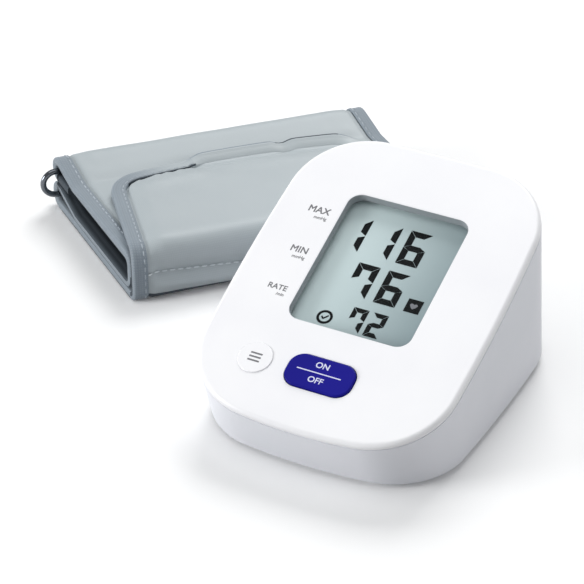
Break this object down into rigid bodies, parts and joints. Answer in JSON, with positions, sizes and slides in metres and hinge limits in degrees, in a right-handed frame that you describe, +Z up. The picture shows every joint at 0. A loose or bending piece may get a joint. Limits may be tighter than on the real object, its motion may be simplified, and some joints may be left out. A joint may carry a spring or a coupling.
{
  "type": "upper arm blood pressure monitor",
  "caption": "White desktop blood pressure monitor with a sloped face, recessed LCD, press buttons, battery door, and a rolled grey fabric arm cuff with a metal D-ring.",
  "frame": {"origin": "middle of the monitor's footprint, in the plane of its base rim, on the table", "axes": "+X to the user's right across the face, +Y away from the user towards the back, +Z up"},
  "size_m": [0.2311, 0.2249, 0.0723],
  "materials": {
    "white_abs": "smooth moulded",
    "rear_abs": "fine satin",
    "blue_abs": "satin",
    "clear_acrylic": "polished",
    "lcd_glass": "reflective grey-green",
    "grey_abs": "moulded",
    "conductive_rubber": "matt",
    "fibreglass_board": "solder mask",
    "black_epoxy": "moulded",
    "steel": "zinc plated",
    "nickel": "plated",
    "motor_can": "plated can",
    "foot_rubber": "matt",
    "tube_silicone": "translucent",
    "cell_jacket": "printed jacket",
    "cuff_nylon": "coated woven nylon",
    "cuff_tape": "ribbed binding tape",
    "bladder_rubber": "matt",
    "hook_fabric": "hook pile",
    "loop_fabric": "loop pile",
    "chrome_wire": "polished"
  },
  "bodies": {
    "monitor": {"front_cover": "white_abs", "rear_case": "rear_abs", "screen_lens": "clear_acrylic", "lcd_panel": "lcd_glass", "lcd_frame": "grey_abs", "zebra_strips": "conductive_rubber", "main_board": "fibreglass_board", "board_screws": "steel", "board_components": "black_epoxy", "pressure_sensor": "black_epoxy", "switch_bodies": "black_epoxy", "case_screws": "steel", "feet": "foot_rubber", "battery_cells": "cell_jacket", "battery_contacts": "nickel", "battery_springs": "nickel", "pump_motor": "motor_can", "pump_head": "black_epoxy", "pump_cradle": "conductive_rubber", "release_valve": "motor_can", "air_manifold": "grey_abs", "air_tubes": "tube_silicone", "air_jack": "grey_abs", "dc_jack": "black_epoxy"},
    "start_button": {"start_button": "blue_abs", "start_plunger": "grey_abs"},
    "memory_button": {"memory_button": "white_abs", "memory_plunger": "grey_abs"},
    "battery_cover": {"battery_cover": "rear_abs"},
    "cuff": {"cuff_band": "cuff_nylon", "cuff_bladder": "bladder_rubber", "cuff_binding_left": "cuff_tape", "cuff_binding_right": "cuff_tape", "flap_binding": "cuff_tape", "hook_pad": "hook_fabric", "loop_pad": "loop_fabric", "hose_nipple": "grey_abs"},
    "d_ring": {"d_ring": "chrome_wire"}
  },
  "joints": [
    {"name": "start_press", "type": "slide", "parent": "monitor", "child": "start_button", "axis": [0, 0.3746, -0.9272], "range_m": [0, 0.0008], "stiffness_N_per_m": 600},
    {"name": "memory_press", "type": "slide", "parent": "monitor", "child": "memory_button", "axis": [0, 0.3746, -0.9272], "range_m": [0, 0.0008], "stiffness_N_per_m": 600},
    {"name": "battery_cover_hinge", "type": "hinge", "parent": "monitor", "child": "battery_cover", "pos_m": [0, -0.0134, 0.0032], "axis": [-1, 0, 0], "range_deg": [0, 70]},
    {"name": "cuff_lift", "type": "slide", "parent": "monitor", "child": "cuff", "axis": [0, 0, 1], "range_m": [0, 0.15]},
    {"name": "ring_swing", "type": "hinge", "parent": "cuff", "child": "d_ring", "pos_m": [-0.12737, 0.11138, 0.01795], "axis": [0.6921, 0.7218, 0], "range_deg": [-3, 3]}
  ]
}
